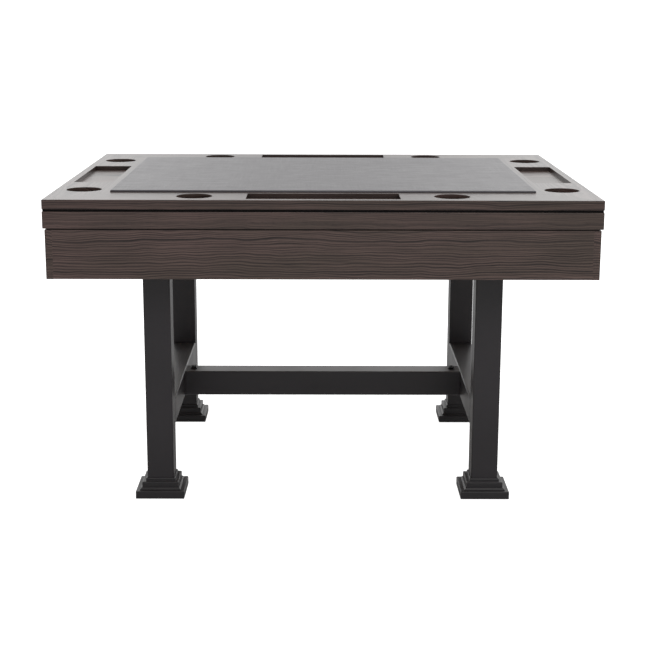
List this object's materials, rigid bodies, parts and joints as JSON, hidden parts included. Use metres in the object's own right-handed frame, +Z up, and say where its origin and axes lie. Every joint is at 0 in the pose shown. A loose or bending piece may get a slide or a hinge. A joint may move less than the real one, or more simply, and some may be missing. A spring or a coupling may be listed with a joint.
{
  "type": "gaming table",
  "caption": "Rectangular gaming table on a stretchered metal trestle, with a lift-off top holding a raised cloth panel, cup wells and chip trays over a sunken game well.",
  "frame": {"origin": "on the floor under the middle of the table", "axes": "+X to the right along the long side seen from the front, -Y to the front, +Z up"},
  "size_m": [1.372, 1.08, 0.817],
  "materials": {
    "top_wood": "grey-brown stained open-grain oak under satin lacquer",
    "cabinet_wood": "dark grey-brown stained open-grain oak, satin",
    "black_coated_steel": "near-black satin powder coat",
    "black_coated_iron": "near-black satin powder coat on cast iron",
    "leveller_steel": "zinc-plated",
    "liner_plastic": "dark brown, fine moulded texture",
    "inner_softwood": "planed, unfinished",
    "inner_board": "fibreboard, unfinished",
    "black_fasteners": "black oxide",
    "zinc_fasteners": "zinc-plated",
    "play_cloth": "grey woven playing cloth",
    "well_cloth": "dark grey woven cloth, glued down",
    "foam": "firm foam sheet",
    "felt_strip": "black felt"
  },
  "bodies": {
    "base": {"apron_back": "cabinet_wood", "apron_front": "cabinet_wood", "apron_left": "cabinet_wood", "apron_right": "cabinet_wood", "band_back": "cabinet_wood", "band_front": "cabinet_wood", "band_left": "cabinet_wood", "band_right": "cabinet_wood", "bearer_left": "inner_softwood", "bearer_right": "inner_softwood", "centre_stretcher": "black_coated_steel", "corner_blocks": "inner_softwood", "floor_cleats": "inner_softwood", "foot_back_left": "black_coated_iron", "foot_back_right": "black_coated_iron", "foot_collars": "black_coated_iron", "foot_front_left": "black_coated_iron", "foot_front_right": "black_coated_iron", "leg_back_left": "black_coated_steel", "leg_back_right": "black_coated_steel", "leg_front_left": "black_coated_steel", "leg_front_right": "black_coated_steel", "leg_lag_screws": "zinc_fasteners", "leg_lag_washers": "zinc_fasteners", "leg_plates": "black_coated_steel", "side_stretcher_left": "black_coated_steel", "side_stretcher_right": "black_coated_steel", "spacer_strips": "felt_strip", "stretcher_bolts": "black_fasteners", "stretcher_flat_washers": "black_fasteners", "stretcher_spring_washers": "black_fasteners", "stretcher_stubs": "black_coated_steel", "stub_nuts": "zinc_fasteners", "well_cloth": "well_cloth", "well_floor": "inner_board"},
    "game_top": {"cup_liner_back_left": "liner_plastic", "cup_liner_back_right": "liner_plastic", "cup_liner_front_left": "liner_plastic", "cup_liner_front_right": "liner_plastic", "cup_liner_left_back": "liner_plastic", "cup_liner_left_front": "liner_plastic", "cup_liner_right_back": "liner_plastic", "cup_liner_right_front": "liner_plastic", "top_rail_back": "top_wood", "top_rail_front": "top_wood", "top_rail_left": "top_wood", "top_rail_right": "top_wood", "tray_floors": "top_wood", "top_core": "inner_board", "core_screws": "zinc_fasteners", "cup_screws": "zinc_fasteners", "play_board": "inner_board", "play_foam": "foam", "play_cloth": "play_cloth", "locating_battens": "inner_softwood"},
    "leveller_back_left": {"leveller_back_left": "leveller_steel"},
    "leveller_back_right": {"leveller_back_right": "leveller_steel"},
    "leveller_front_left": {"leveller_front_left": "leveller_steel"},
    "leveller_front_right": {"leveller_front_right": "leveller_steel"}
  },
  "joints": [
    {"name": "top_lift", "type": "slide", "parent": "base", "child": "game_top", "axis": [0, 0, 1], "range_m": [0, 0.3]},
    {"name": "leveller_back_left_screw", "type": "slide", "parent": "base", "child": "leveller_back_left", "axis": [0, 0, -1], "range_m": [0, 0.012]},
    {"name": "leveller_back_right_screw", "type": "slide", "parent": "base", "child": "leveller_back_right", "axis": [0, 0, -1], "range_m": [0, 0.012]},
    {"name": "leveller_front_left_screw", "type": "slide", "parent": "base", "child": "leveller_front_left", "axis": [0, 0, -1], "range_m": [0, 0.012]},
    {"name": "leveller_front_right_screw", "type": "slide", "parent": "base", "child": "leveller_front_right", "axis": [0, 0, -1], "range_m": [0, 0.012]}
  ]
}
